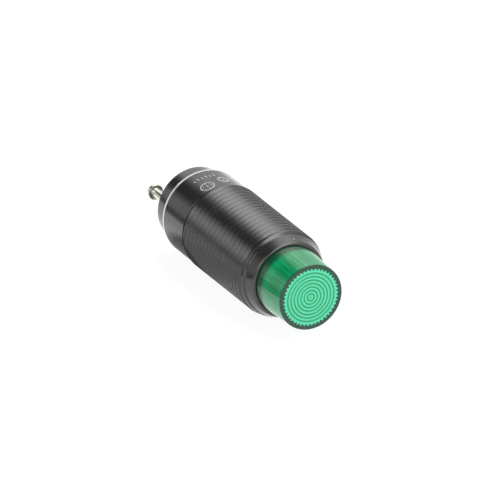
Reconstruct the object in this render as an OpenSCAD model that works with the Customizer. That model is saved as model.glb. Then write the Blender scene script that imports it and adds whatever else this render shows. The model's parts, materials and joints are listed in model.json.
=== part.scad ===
// Panel pilot light: a threaded black housing with a fluted green lens in front
// and two turret terminals behind.
//
// Local z runs along the light's axis, 0 at the housing's front rim and positive
// out through the lens; local y is up. forward() lays that axis along Y, with the
// lens towards -Y and the middle of the panel thread at the origin.

/* [Panel thread] */
// Diameter over the crests of the thread
thread_d = 18.9; // [18.5:0.1:20]
// Distance from one crest to the next
thread_pitch = 1.5875; // [1.1875:0.0125:1.8]
// Length of housing that the thread covers
thread_len = 25.8; // [22:0.1:32]
// Width of the flat on top of a crest
crest_flat = 0.25; // [0.1:0.01:0.4]
// Width of the flat at the bottom of a groove
root_flat = 0.3; // [0.1:0.01:0.4]

/* [Housing] */
// Length of the plain nose in front of the thread
nose_len = 3.8; // [3:0.1:6]
// Width of the bevelled lip around the housing's mouth
lip_w = 1.05; // [0.7:0.05:1.4]
// Width of the lip's front face, before its edge is rounded
lip_face = 0.58; // [0.4:0.02:0.65]
// Rounding of the lip's front edge
lip_round = 0.6; // [0.1:0.1:0.7]
// Depth of the bevel around the nose
bevel_len = 1.35; // [0.8:0.05:2]
// Rounding between the bevel and the taper
nose_round = 0.3; // [0.2:0.1:0.8]
// Length of the plain barrel behind the thread
barrel_len = 9.25; // [7:0.05:14]
// Wall of the barrel around the rear cap
barrel_wall = 1.05; // [0.9:0.05:1.4]
// Length of the slope around the barrel's rear rim
rim_len = 0.9; // [0.3:0.1:1.2]
// Depth of the slope around the barrel's rear rim
rim_drop = 0.22; // [0.1:0.02:0.3]
// Width of the shoulder that the lamp board seats on
board_seat = 0.4; // [0.3:0.05:0.6]
// Width of the shoulder that the rear cap seats on
cap_seat = 0.85; // [0.6:0.05:1]
// Width of the ledge that the lens gasket lies on
mouth_ledge = 0.55; // [0.4:0.05:0.8]

/* [Lens] */
// Draft angle of the lens wall
lens_draft = 2.25; // [0.5:0.25:3]
// Step between the wall and the flange at its foot
flange_step = 0.1; // [0.05:0.05:0.4]
// Height of the front face above the housing's front rim
lens_proud = 9.55; // [8:0.05:14]
// Height of the flange above the front rim
flange_proud = 1.12; // [0.4:0.02:1.6]
// Depth of the flange below the front rim
flange_sunk = 1.2; // [0.8:0.1:2]
// Diameter of the skirt that is cemented into the housing
skirt_d = 13.8; // [13:0.1:14.4]
// Depth of the skirt's end below the front rim
skirt_len = 7; // [5:0.1:9]
// Wall of the skirt
skirt_wall = 0.7; // [0.5:0.05:0.9]
// Thickness of the front plate
plate_t = 0.8; // [0.7:0.1:1.6]
// Number of flutes around the inside of the wall
flutes = 45; // [24:1:60]
// Radial step from the bore behind the flutes down to their bottoms
flute_step = 0.05; // [0.02:0.01:0.2]
// Depth of a flute
flute_depth = 0.42; // [0.2:0.02:0.6]
// Length of the flutes behind the front plate
flute_len = 4.7; // [3:0.1:5.5]
// Distance from one ring of the front plate to the next
ring_pitch = 0.745; // [0.5:0.005:1]
// Depth of the valleys between the rings
ring_depth = 0.25; // [0.1:0.05:0.4]
// Rounding of the lens's front edge
lens_round = 0.12; // [0.05:0.01:0.3]
// Thickness of the gasket under the flange
gasket_t = 0.4; // [0.2:0.1:0.8]

/* [Lamp cup] */
// Wall of the cup at its front rim
cup_rim_t = 0.45; // [0.3:0.05:0.6]
// Depth of the cup's floor below the housing's front rim
cup_floor_z = 1.2; // [0.6:0.1:2]
// Thickness of the cup's floor
cup_floor_t = 1.2; // [0.8:0.1:1.6]
// Width of the floor outside the lamps
cup_floor_margin = 0.2; // [0:0.05:0.3]
// Wall of the skirt behind the floor
cup_skirt_t = 0.7; // [0.5:0.05:0.8]
// Thickness of the flange that the lens skirt clamps
cup_flange_t = 1.6; // [1:0.1:2.4]
// Thickness of the diffuser disc in the cup's mouth
diffuser_t = 0.8; // [0.5:0.1:1.2]
// Width of the ledge that the diffuser rests on
diffuser_ledge = 0.35; // [0.2:0.05:0.5]

/* [LED lamps] */
// Diameter of a lamp's dome
led_d = 3; // [2.6:0.1:3.2]
// Diameter of a lamp's rim
led_rim_d = 3.8; // [3.4:0.1:3.9]
// Thickness of a lamp's rim
led_rim_t = 1; // [0.8:0.1:1.2]
// Height of a lamp from its base to the top of its dome
led_h = 5.3; // [4.4:0.1:5.6]
// Gap between the lamps' rims and the skirt around them
led_edge_gap = 0.1; // [0.05:0.05:0.2]
// Diameter of a lamp's leads
led_lead_d = 0.5; // [0.4:0.05:0.6]
// Distance between the two leads of a lamp
led_lead_gap = 2.54; // [2:0.02:2.6]

/* [Circuit boards] */
// Thickness of both boards
board_t = 1.2; // [0.8:0.1:1.6]
// Gap between the driver board and the rear cap
driver_gap = 1; // [0.6:0.1:2]
// Gap between the lamp board and the driver board
board_gap = 1; // [0.8:0.1:1.6]
// Width of the square pins between the boards
pin_w = 0.64; // [0.5:0.02:0.8]
// Length of each pin that lies on the driver board
pin_foot = 2.4; // [1.5:0.1:3.5]
// Distance from one pin to the next on each side
pin_pitch = 1.7; // [1.2:0.1:2]
// Distance from the outer pins to the driver board's long edges
pin_edge = 0.7; // [0.4:0.1:1]
// How far a soldered lead stands out of its board
lead_stub = 0.8; // [0.6:0.1:1]
// Height of a solder fillet
solder_h = 0.5; // [0.3:0.1:0.6]
// Wall of the insulating sleeve around the driver board
sleeve_t = 0.45; // [0.3:0.05:0.6]

/* [Driver parts] */
// Diameter of a dropping resistor's ends
resistor_d = 3.2; // [2.4:0.1:3.6]
// Length of a dropping resistor
resistor_len = 8; // [6:0.1:8.4]
// Distance of each resistor from the middle of the board
resistor_x = 2.2; // [2:0.1:2.6]
// Diameter of the rectifier diode
diode_d = 2.6; // [2:0.1:3]
// Length of the rectifier diode
diode_len = 4.4; // [3.6:0.1:5]
// Diameter of the leads of the resistors and the diode
part_lead_d = 0.6; // [0.5:0.05:0.8]
// Distance from the board's short edges to the nearest leads
lead_edge = 1.2; // [0.8:0.1:1.6]
// Straight length of each lead before its bend
part_lead_run = 0.8; // [0.4:0.1:1]
// Bend radius of each lead
part_lead_bend = 0.8; // [0.5:0.1:1]

/* [Wires] */
// Diameter of a wire over its insulation
wire_d = 1.5; // [1.2:0.1:1.7]
// Diameter of the copper in a wire
core_d = 0.7; // [0.5:0.05:0.75]
// Length of bare copper on the driver board
bare_len = 2.4; // [1.6:0.1:3]
// Length of insulation that lies on the driver board
wire_on_board = 1.2; // [0.6:0.1:2]

/* [Rear cap] */
// Wall of the cap in front of its floor
cap_wall = 1.25; // [1:0.05:1.6]
// Length of the cap that stands out behind the housing
cap_proud = 4.1; // [3:0.1:8]
// Length of the cap inside the housing
cap_insert = 4.2; // [3:0.1:6]
// Thickness of the cap's floor
cap_floor_t = 3; // [2:0.1:4]
// Rounding of the cap's rear edge
cap_round = 0.15; // [0.05:0.05:1]
// Thickness of the epoxy that seals the terminals
epoxy_t = 2.9; // [2.4:0.1:3.6]

/* [Terminals] */
// Distance between the axes of the two terminals
terminal_gap = 8.34; // [7.6:0.02:8.6]
// Diameter of a terminal's neck
neck_d = 1.9; // [1.6:0.1:2.2]
// Distance from the cap to the terminal's head
neck_len = 8.55; // [5:0.05:12]
// Diameter of the head
head_d = 3.34; // [2.6:0.02:3.8]
// Thickness of the head
head_t = 0.94; // [0.5:0.02:1.4]
// Diameter of the shoulder that seats on the cap
shoulder_d = 3.6; // [3:0.1:4.2]
// Thickness of the shoulder
shoulder_t = 0.7; // [0.4:0.1:1.2]
// Diameter of the swaged ring inside the cap
swage_d = 3; // [2.6:0.1:3.4]
// Thickness of the swaged ring
swage_t = 0.5; // [0.3:0.1:0.8]
// Length of the solder cup in front of the floor
stub_len = 1.8; // [1.4:0.1:2]
// Depth of the hole in the solder cup
cup_hole_len = 2; // [1.5:0.1:2.5]

/* [Fits] */
// Radial gap between pieces that slide together
slip = 0.05; // [0.02:0.01:0.1]
// Radial gap where one material is bonded around another
bond = 0.02; // [0.01:0.01:0.04]
// Radial gap around a lead in a drilled board
lead_play = 0.15; // [0.1:0.05:0.25]

/* [Hidden] */
$fn = 64;
eps = 0.01;
ARC_STEPS = 5;
RING_STEPS = 8;
LEDS = 4;

// Stations along the axis
housing_len = nose_len + thread_len + barrel_len;
origin_z = -nose_len - thread_len / 2;
mouth_floor_z = -flange_sunk - gasket_t;
cup_rear_z = -skirt_len - cup_flange_t;
lamp_board_rear_z = cup_rear_z - board_t;
driver_front_z = lamp_board_rear_z - board_gap;
cap_front_z = -housing_len + cap_insert;
driver_rear_z = cap_front_z + driver_gap;
driver_len = driver_front_z - driver_rear_z;
cap_rear_z = -housing_len - cap_proud;
cap_floor_front_z = cap_rear_z + cap_floor_t;
epoxy_front_z = cap_floor_front_z + epoxy_t;
plate_rear_z = lens_proud - plate_t;
flute_rear_z = plate_rear_z - flute_len;

// Radii, from the lens outwards
bore_r = skirt_d / 2 + slip;
flange_r = skirt_d / 2 + mouth_ledge;
mouth_r = flange_r + slip;
lens_base_r = flange_r - flange_step;
lens_face_r = lens_base_r - (lens_proud - flange_proud) * tan(lens_draft);
lens_bore_r = skirt_d / 2 - skirt_wall;
flute_r = lens_bore_r - flute_step;
chamber_r = bore_r + board_seat;
cap_hole_r = chamber_r + cap_seat;
cap_r = cap_hole_r - slip;
cap_bore_r = cap_r - cap_wall;
barrel_r = cap_hole_r + barrel_wall;
crest_r = thread_d / 2;

// The lamp cup and what it holds
cup_r = lens_bore_r - slip;
cup_flange_r = bore_r - slip;
cup_skirt_bore_r = cup_r - cup_skirt_t;
diffuser_r = cup_r - cup_rim_t;
led_circle_r = cup_skirt_bore_r - led_edge_gap - led_rim_d / 2;
cup_floor_r = led_circle_r + led_d / 2 + cup_floor_margin;
cup_floor_rear_z = -cup_floor_z - cup_floor_t;
led_base_z = cup_floor_rear_z - led_rim_t;

// The boards and what they carry
board_r = chamber_r - slip;
sleeve_bore_r = board_r - sleeve_t;
board_top_y = -wire_d / 2;
board_bottom_y = board_top_y - board_t;
driver_w = 2 * sqrt(pow(sleeve_bore_r, 2) - pow(board_bottom_y, 2)) - 2 * slip;
resistor_reach = resistor_len / 2 + part_lead_run + part_lead_bend;
resistor_mid_z = driver_front_z - lead_edge - resistor_reach;
diode_reach = diode_len / 2 + part_lead_run + part_lead_bend;
diode_mid_z = driver_rear_z + lead_edge + diode_reach;
insulation_front_z = driver_rear_z + wire_on_board;
insulation_rear_z = cap_floor_front_z + stub_len;
core_front_z = insulation_front_z + bare_len;
core_rear_z = insulation_rear_z - cup_hole_len + eps;
pin_outer_x = driver_w / 2 - pin_edge - pin_w / 2;
pin_inner_x = pin_outer_x - pin_pitch;
pin_xs = [-pin_outer_x, -pin_inner_x, pin_inner_x, pin_outer_x];

function unit(v) = v / norm(v);

// Points of the arc of radius r that rounds the corner b between a and c
function corner(a, b, c, r) =
    let (u = unit(a - b), v = unit(c - b), half = acos(u * v) / 2)
    let (centre = b + unit(u + v) * r / sin(half))
    let (from = b + u * r / tan(half) - centre, to = b + v * r / tan(half) - centre)
    let (start = atan2(from[1], from[0]), end = atan2(to[1], to[0]))
    let (turn = (end - start + 540) % 360 - 180)
    [for (i = [0:ARC_STEPS]) let (a = start + turn * i / ARC_STEPS) centre + r * [cos(a), sin(a)]];

// Outline through points [x, y, r], each rounded by its own radius r
function rounded(p) =
    let (n = len(p), xy = [for (q = p) [q[0], q[1]]])
    [for (i = [0:n - 1]) each p[i][2] > 0
        ? corner(xy[(i + n - 1) % n], xy[i], xy[(i + 1) % n], p[i][2])
        : [xy[i]]];

// Crests and grooves of the thread, from front to rear, as rings of 60 degrees
function thread_outline() =
    let (groove_w = thread_pitch - crest_flat)
    let (depth = (groove_w - root_flat) / 2 * tan(60))
    let (count = floor(thread_len / thread_pitch))
    let (first_z = -nose_len - (thread_len - (count - 1) * thread_pitch) / 2)
    [for (i = [0:count - 1]) let (z = first_z - i * thread_pitch) each [
        [crest_r, z + groove_w / 2, 0],
        [crest_r - depth, z + root_flat / 2, 0],
        [crest_r - depth, z - root_flat / 2, 0],
        [crest_r, z - groove_w / 2, 0]
    ]];

// Lays the axis along Y, with the thread's middle at the origin
module forward() {
    rotate([90, 0, 0]) translate([0, 0, -origin_z]) children();
}

// A tube along the axis from z0 up to z1; r_in may be 0 for a plain disc
module tube(r_out, r_in, z0, z1) {
    translate([0, 0, z0]) difference() {
        cylinder(h = z1 - z0, r = r_out);
        if (r_in > 0) translate([0, 0, -eps]) cylinder(h = z1 - z0 + 2 * eps, r = r_in);
    }
}

// Puts a copy at the place of each lead of the lamps
module at_led_leads() {
    for (i = [1:LEDS], side = [-1, 1]) {
        translate(led_place(i) + [side * led_lead_gap / 2, 0, 0]) children();
    }
}

// Centre of lamp i, on the circle of the lamps
function led_place(i) = let (a = 45 + 360 / LEDS * (i - 1)) led_circle_r * [cos(a), sin(a), 0];

module housing() {
    color([0.07, 0.07, 0.07]) forward() rotate_extrude() polygon(rounded(concat(
        [
            [mouth_r, 0, 0],
            [mouth_r + lip_face, 0, lip_round],
            [mouth_r + lip_w, -bevel_len, nose_round],
            [crest_r, -nose_len, 0]
        ],
        thread_outline(),
        [
            [crest_r, -nose_len - thread_len, 0],
            [barrel_r, -nose_len - thread_len, 0],
            [barrel_r, -housing_len + rim_len, 0],
            [barrel_r - rim_drop, -housing_len, 0],
            [cap_hole_r, -housing_len, 0],
            [cap_hole_r, cap_front_z, 0],
            [chamber_r, cap_front_z, 0],
            [chamber_r, cup_rear_z, 0],
            [bore_r, cup_rear_z, 0],
            [bore_r, mouth_floor_z, 0],
            [mouth_r, mouth_floor_z, 0]
        ]
    )));
}

// Outline of the front plate's inner face: waves with a crest at each ring
function ring_face() =
    let (rings = floor((flute_r - flute_depth) / ring_pitch))
    let (steps = rings * RING_STEPS)
    [for (i = [0:steps]) let (r = i / RING_STEPS * ring_pitch)
        [r, plate_rear_z - ring_depth / 2 * (1 - cos(360 * r / ring_pitch))]];

// Star-shaped section of the fluted bore
module flute_section() {
    polygon([for (i = [0:2 * flutes - 1])
        let (a = 180 / flutes * i, r = flute_r - (i % 2) * flute_depth)
        r * [cos(a), sin(a)]]);
}

module lens() {
    color([0.12, 0.72, 0.5, 0.75]) forward() difference() {
        rotate_extrude() polygon(rounded([
            [0, lens_proud, 0],
            [lens_face_r, lens_proud, lens_round],
            [lens_base_r, flange_proud, 0],
            [flange_r, flange_proud, 0],
            [flange_r, -flange_sunk, 0],
            [skirt_d / 2, -flange_sunk, 0],
            [skirt_d / 2, -skirt_len, 0],
            [0, -skirt_len, 0]
        ]));
        translate([0, 0, -skirt_len - eps]) {
            cylinder(h = flute_rear_z + skirt_len + eps, r = lens_bore_r);
        }
        translate([0, 0, flute_rear_z - eps]) {
            linear_extrude(plate_rear_z - ring_depth - flute_rear_z + eps) flute_section();
        }
        rotate_extrude() polygon(concat(
            ring_face(),
            [
                [ring_face()[len(ring_face()) - 1][0], flute_rear_z],
                [0, flute_rear_z]
            ]
        ));
    }
}

module lens_gasket() {
    color([0.2, 0.2, 0.2]) forward() tube(flange_r, bore_r, mouth_floor_z, -flange_sunk);
}

module lamp_cup() {
    color([0.95, 0.95, 0.93]) forward() difference() {
        rotate_extrude() polygon([
            [0, -cup_floor_z],
            [cup_floor_r, -cup_floor_z],
            [diffuser_r - diffuser_ledge, flute_rear_z - diffuser_t],
            [diffuser_r, flute_rear_z - diffuser_t],
            [diffuser_r, flute_rear_z],
            [cup_r, flute_rear_z],
            [cup_r, -skirt_len],
            [cup_flange_r, -skirt_len],
            [cup_flange_r, cup_rear_z],
            [cup_skirt_bore_r, cup_rear_z],
            [cup_skirt_bore_r, cup_floor_rear_z],
            [0, cup_floor_rear_z]
        ]);
        for (i = [1:LEDS]) translate(led_place(i)) {
            translate([0, 0, cup_floor_rear_z - eps]) {
                cylinder(h = cup_floor_t + 2 * eps, r = led_d / 2 + slip);
            }
        }
    }
}

module diffuser() {
    color([0.98, 0.98, 0.96]) forward() {
        tube(diffuser_r - slip, 0, flute_rear_z - diffuser_t, flute_rear_z);
    }
}

// Moulded lamp: a rim with one flat side, a barrel and a dome
module led(i) {
    color([0.55, 0.9, 0.7]) forward() translate(led_place(i) + [0, 0, led_base_z]) {
        intersection() {
            cylinder(h = led_rim_t, r = led_rim_d / 2);
            translate([-led_rim_d, -led_rim_d, 0]) cube([led_rim_d + led_d / 2, 2 * led_rim_d, led_rim_t]);
        }
        cylinder(h = led_h - led_d / 2, r = led_d / 2);
        translate([0, 0, led_h - led_d / 2]) intersection() {
            sphere(r = led_d / 2);
            cylinder(h = led_d / 2, r = led_d);
        }
    }
}

module led_leads() {
    color([0.8, 0.8, 0.78]) forward() at_led_leads() {
        tube(led_lead_d / 2, 0, lamp_board_rear_z - lead_stub, led_base_z);
    }
}

module lamp_board() {
    color([0.1, 0.4, 0.2]) forward() difference() {
        tube(board_r, 0, lamp_board_rear_z, cup_rear_z);
        translate([0, 0, lamp_board_rear_z - eps]) {
            at_led_leads() cylinder(h = board_t + 2 * eps, r = led_lead_d / 2 + lead_play);
            for (x = pin_xs) translate([x, board_top_y + pin_w / 2, 0]) {
                cylinder(h = board_t + 2 * eps, r = pin_w * sqrt(2) / 2 + slip);
            }
        }
    }
}

// Square pins that hold the driver board behind the lamp board
module board_pins() {
    color([0.85, 0.75, 0.4]) forward() for (x = pin_xs) {
        translate([x - pin_w / 2, board_top_y, driver_front_z - pin_foot]) {
            cube([pin_w, pin_w, cup_rear_z - driver_front_z + pin_foot]);
        }
    }
}

// Puts a copy over each hole that the resistors' and the diode's leads go through
module at_part_leads() {
    for (end = [-1, 1]) {
        for (side = [-1, 1]) {
            translate([side * resistor_x, 0, resistor_mid_z + end * resistor_reach]) children();
        }
        translate([0, 0, diode_mid_z + end * diode_reach]) children();
    }
}

module driver_board() {
    color([0.1, 0.4, 0.2]) forward() difference() {
        translate([-driver_w / 2, board_bottom_y, driver_rear_z]) cube([driver_w, board_t, driver_len]);
        at_part_leads() translate([0, board_bottom_y - eps, 0]) rotate([-90, 0, 0]) {
            cylinder(h = board_t + 2 * eps, r = part_lead_d / 2 + lead_play);
        }
    }
}

module insulating_sleeve() {
    color([0.85, 0.8, 0.6]) forward() tube(board_r, sleeve_bore_r, cap_front_z, lamp_board_rear_z);
}

// Body of a resistor: two end caps with a thinner stretch between them
module resistor(side) {
    cap_len = resistor_len * 0.2;
    waist_r = resistor_d / 2 * 0.88;
    color([0.75, 0.65, 0.5]) forward() {
        translate([side * resistor_x, board_top_y + resistor_d / 2, resistor_mid_z - resistor_len / 2]) {
            cylinder(h = resistor_len, r = waist_r);
            cylinder(h = cap_len, r = resistor_d / 2);
            translate([0, 0, resistor_len - cap_len]) cylinder(h = cap_len, r = resistor_d / 2);
        }
    }
}

// One bent lead: out of a part's end at height y, round a bend and down through the board
module bent_lead(y) {
    r = part_lead_d / 2;
    cylinder(h = part_lead_run, r = r);
    translate([0, -part_lead_bend, part_lead_run]) rotate([90, 0, 90]) {
        rotate_extrude(angle = 90) translate([part_lead_bend, 0]) circle(r = r);
    }
    drop = y - part_lead_bend - board_bottom_y + lead_stub;
    translate([0, -part_lead_bend, part_lead_run + part_lead_bend]) rotate([90, 0, 0]) {
        cylinder(h = drop, r = r);
    }
}

// Both leads of a part of the given length and diameter, centred at x, z
module lead_pair(x, z, part_len, part_d) {
    y = board_top_y + part_d / 2;
    for (end = [0, 1]) translate([x, y, z]) mirror([0, 0, end]) {
        translate([0, 0, part_len / 2]) bent_lead(y);
    }
}

module resistor_leads() {
    color([0.8, 0.8, 0.78]) forward() for (side = [-1, 1]) {
        lead_pair(side * resistor_x, resistor_mid_z, resistor_len, resistor_d);
    }
}

module rectifier_diode() {
    color([0.12, 0.12, 0.12]) forward() translate([0, board_top_y + diode_d / 2, 0]) {
        tube(diode_d / 2, 0, diode_mid_z - diode_len / 2, diode_mid_z + diode_len / 2);
    }
}

module diode_leads() {
    color([0.8, 0.8, 0.78]) forward() lead_pair(0, diode_mid_z, diode_len, diode_d);
}

// Cone of solder around a round lead, its wide end at z = 0
module fillet_ring(lead_r) {
    difference() {
        cylinder(h = solder_h, r1 = lead_r + 0.35, r2 = lead_r + 0.1);
        translate([0, 0, -eps]) cylinder(h = solder_h + 2 * eps, r = lead_r + bond);
    }
}

module solder_joints() {
    color([0.72, 0.73, 0.75]) forward() {
        at_led_leads() translate([0, 0, lamp_board_rear_z]) mirror([0, 0, 1]) fillet_ring(led_lead_d / 2);
        at_part_leads() translate([0, board_bottom_y, 0]) rotate([90, 0, 0]) fillet_ring(part_lead_d / 2);
        for (side = [-1, 1]) core_solder(side * terminal_gap / 2);
    }
}

// Mound of solder that holds a bare core on the driver board
module core_solder(x) {
    length = bare_len * 0.7;
    difference() {
        translate([x, 0, core_front_z - length]) intersection() {
            cylinder(h = length, r = wire_d / 2);
            translate([-wire_d / 2, -wire_d / 2, 0]) cube([wire_d, wire_d / 2 + core_d / 4, length]);
        }
        translate([x, 0, core_front_z - length - eps]) cylinder(h = length + 2 * eps, r = core_d / 2 + bond);
    }
}

// Insulation of the wire from the driver board to a terminal
module wire(side) {
    color([0.85, 0.85, 0.85]) forward() translate([side * terminal_gap / 2, 0, 0]) {
        tube(wire_d / 2, core_d / 2 + bond, insulation_rear_z, insulation_front_z);
    }
}

module wire_cores() {
    color([0.8, 0.45, 0.25]) forward() for (side = [-1, 1]) {
        translate([side * terminal_gap / 2, 0, 0]) tube(core_d / 2, 0, core_rear_z, core_front_z);
    }
}

module rear_cap() {
    color([0.08, 0.08, 0.08]) forward() difference() {
        rotate_extrude() polygon(rounded([
            [0, cap_rear_z, 0],
            [cap_r, cap_rear_z, cap_round],
            [cap_r, cap_front_z, 0],
            [cap_bore_r, cap_front_z, 0],
            [cap_bore_r, cap_floor_front_z, 0],
            [0, cap_floor_front_z, 0]
        ]));
        for (side = [-1, 1]) translate([side * terminal_gap / 2, 0, cap_rear_z - eps]) {
            cylinder(h = cap_floor_t + 2 * eps, r = neck_d / 2 + bond);
        }
    }
}

// Sealing epoxy, poured on the cap's floor around the swages and the solder cups
module epoxy_seal() {
    color([0.25, 0.22, 0.18]) forward() difference() {
        tube(cap_bore_r - bond, 0, cap_floor_front_z, epoxy_front_z);
        for (side = [-1, 1]) translate([side * terminal_gap / 2, 0, cap_floor_front_z - eps]) {
            cylinder(h = swage_t + bond + eps, r = swage_d / 2 + bond);
            cylinder(h = stub_len + eps, r = neck_d / 2 + bond);
            cylinder(h = epoxy_t + 2 * eps, r = wire_d / 2 + bond);
        }
    }
}

// Turret terminal: solder cup, swage, shank, shoulder, neck and head in one turned piece
module terminal(side) {
    head_rear_z = cap_rear_z - neck_len - head_t;
    color([0.78, 0.77, 0.72]) forward() translate([side * terminal_gap / 2, 0, 0]) {
        rotate_extrude() polygon(rounded([
            [0, head_rear_z, 0],
            [head_d / 2, head_rear_z, head_t * 0.35],
            [head_d / 2, head_rear_z + head_t, head_t * 0.15],
            [neck_d / 2, head_rear_z + head_t, 0],
            [neck_d / 2, cap_rear_z - shoulder_t, 0],
            [shoulder_d / 2, cap_rear_z - shoulder_t, shoulder_t * 0.3],
            [shoulder_d / 2, cap_rear_z, 0],
            [neck_d / 2, cap_rear_z, 0],
            [neck_d / 2, cap_floor_front_z, 0],
            [swage_d / 2, cap_floor_front_z, 0],
            [swage_d / 2 - swage_t * 0.4, cap_floor_front_z + swage_t, 0],
            [neck_d / 2, cap_floor_front_z + swage_t, 0],
            [neck_d / 2, cap_floor_front_z + stub_len, 0],
            [core_d / 2 + bond, cap_floor_front_z + stub_len, 0],
            [core_d / 2 + bond, cap_floor_front_z + stub_len - cup_hole_len, 0],
            [0, cap_floor_front_z + stub_len - cup_hole_len, 0]
        ]));
    }
}

housing();
lens();
lens_gasket();
lamp_cup();
diffuser();
led(1);  // led_1
led(2);  // led_2
led(3);  // led_3
led(4);  // led_4
led_leads();
lamp_board();
board_pins();
driver_board();
insulating_sleeve();
resistor(-1);  // resistor_left
resistor(1);  // resistor_right
resistor_leads();
rectifier_diode();
diode_leads();
solder_joints();
wire(-1);  // wire_left
wire(1);  // wire_right
wire_cores();
rear_cap();
epoxy_seal();
terminal(-1);  // terminal_left
terminal(1);  // terminal_right
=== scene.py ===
import json
import math

import bmesh
import bpy
import numpy as np
from bpy.props import FloatProperty, FloatVectorProperty, IntProperty, PointerProperty
from bpy.types import Operator, Panel, PropertyGroup
from mathutils import Matrix, Vector


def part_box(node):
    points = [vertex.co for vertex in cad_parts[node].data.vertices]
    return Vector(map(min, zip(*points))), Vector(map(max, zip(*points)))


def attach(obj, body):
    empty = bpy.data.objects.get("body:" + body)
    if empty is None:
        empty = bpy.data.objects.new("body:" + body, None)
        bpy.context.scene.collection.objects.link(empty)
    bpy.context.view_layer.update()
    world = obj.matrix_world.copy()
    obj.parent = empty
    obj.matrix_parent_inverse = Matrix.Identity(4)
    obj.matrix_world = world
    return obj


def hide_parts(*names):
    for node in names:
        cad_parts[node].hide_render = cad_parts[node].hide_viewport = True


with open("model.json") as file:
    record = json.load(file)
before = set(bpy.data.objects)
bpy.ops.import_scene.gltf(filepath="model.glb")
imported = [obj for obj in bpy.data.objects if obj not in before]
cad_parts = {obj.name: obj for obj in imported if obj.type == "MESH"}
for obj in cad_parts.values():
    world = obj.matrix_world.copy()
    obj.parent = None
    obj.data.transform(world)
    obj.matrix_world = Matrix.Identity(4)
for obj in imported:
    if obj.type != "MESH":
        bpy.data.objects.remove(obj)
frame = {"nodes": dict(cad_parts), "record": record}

bl_info = {
    "name": "Panel pilot light",
    "version": (1, 0, 0),
    "blender": (4, 5, 0),
    "location": "View3D > Sidebar > Pilot Light",
    "description": "Dresses a panel pilot light: threaded housing, fluted green lens and turret terminals",
    "category": "Object",
}

MM = 0.001
TAU = 2 * math.pi
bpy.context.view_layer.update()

# The light's axis lies along Y, with the lens towards -Y. "Depth" is the distance
# behind the housing's front rim, so it is negative in front of the rim.
FRONT_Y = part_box("housing")[0].y
HOUSING_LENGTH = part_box("housing")[1].y - FRONT_Y
CREST_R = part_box("housing")[1].x
FACE_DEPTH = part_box("lens")[0].y - FRONT_Y
SKIRT_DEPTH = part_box("lens")[1].y - FRONT_Y
FLANGE_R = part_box("lens")[1].x
CAP_DEPTHS = [corner.y - FRONT_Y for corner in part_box("rear_cap")]
CAP_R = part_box("rear_cap")[1].x
GASKET_DEPTHS = [corner.y - FRONT_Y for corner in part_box("lens_gasket")]
BOARD_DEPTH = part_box("lamp_board")[0].y - FRONT_Y
BORE_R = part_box("lamp_cup")[1].x + 0.05 * MM
CHAMBER_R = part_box("lamp_board")[1].x + 0.05 * MM


# Settings --------------------------------------------------------------------

def size(name, description, default_mm):
    """A length in metres whose default is given in millimetres."""
    return FloatProperty(name=name, description=description, default=default_mm * MM, min=0.0,
                         unit="LENGTH", precision=5)


def count(name, description, default, low, high):
    """A whole number from low to high."""
    return IntProperty(name=name, description=description, default=default, min=low, max=high)


def share(name, description, default):
    """A number from 0 to 1."""
    return FloatProperty(name=name, description=description, default=default, min=0.0, max=1.0,
                         subtype="FACTOR")


def shade(name, description, default):
    """A colour in linear red, green and blue."""
    return FloatVectorProperty(name=name, description=description, default=default, min=0.0, max=1.0,
                               subtype="COLOR", size=3)


def angle(name, description, degrees):
    """An angle whose default is given in degrees."""
    return FloatProperty(name=name, description=description, default=math.radians(degrees),
                         subtype="ANGLE")


class HousingSizes(PropertyGroup):
    pitch: size("Pitch", "Distance from one thread crest to the next", 1.5875)
    crest_flat: size("Crest flat", "Width of the flat on top of a crest", 0.25)
    root_flat: size("Root flat", "Width of the flat at the bottom of a groove", 0.3)
    edge_round: size("Edge rounding", "Rounding of the thread's crests and roots", 0.1)
    nose: size("Nose", "Length of the plain nose in front of the thread", 3.8)
    thread: size("Thread", "Length of housing that the thread covers", 25.8)
    lip: size("Lip", "Width of the bevelled lip around the mouth", 1.05)
    lip_face: size("Lip face", "Width of the lip's front face, before its edge is rounded", 0.58)
    lip_round: size("Lip rounding", "Rounding of the lip's front edge", 0.6)
    bevel: size("Bevel", "Depth of the bevel around the nose", 1.35)
    barrel_wall: size("Barrel wall", "Wall of the barrel around the rear cap", 1.05)
    rim_length: size("Rim length", "Length of the slope around the barrel's rear rim", 0.9)
    rim_drop: size("Rim drop", "Depth of the slope around the barrel's rear rim", 0.22)
    slip: size("Slip", "Radial gap between pieces that slide together", 0.05)
    plastic: shade("Plastic", "Colour of the black moulding", (0.017, 0.017, 0.0165))
    # A pale colour laid over the whole slope round the rear rim
    cut: shade("Cut rim", "Colour of the trimmed slope at the rear rim", (0.5, 0.5, 0.49))
    roughness: share("Roughness", "Roughness of the moulding", 0.14)


class MarkSizes(PropertyGroup):
    bead: size("Bead", "Half the width of a raised line", 0.13)
    rise: size("Rise", "How far the lines stand out of the barrel", 0.055)
    dial: size("Dial", "Radius of the moulder's dials", 1.45)
    ticks: count("Ticks", "Ticks around a dial", 8, 4, 16)
    # Painted highlight: the lines are laid pale for the glint along their raised edges
    glint_paint: shade("Worn", "Colour of the lines, which handling has paled", (0.34, 0.34, 0.34))


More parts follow.
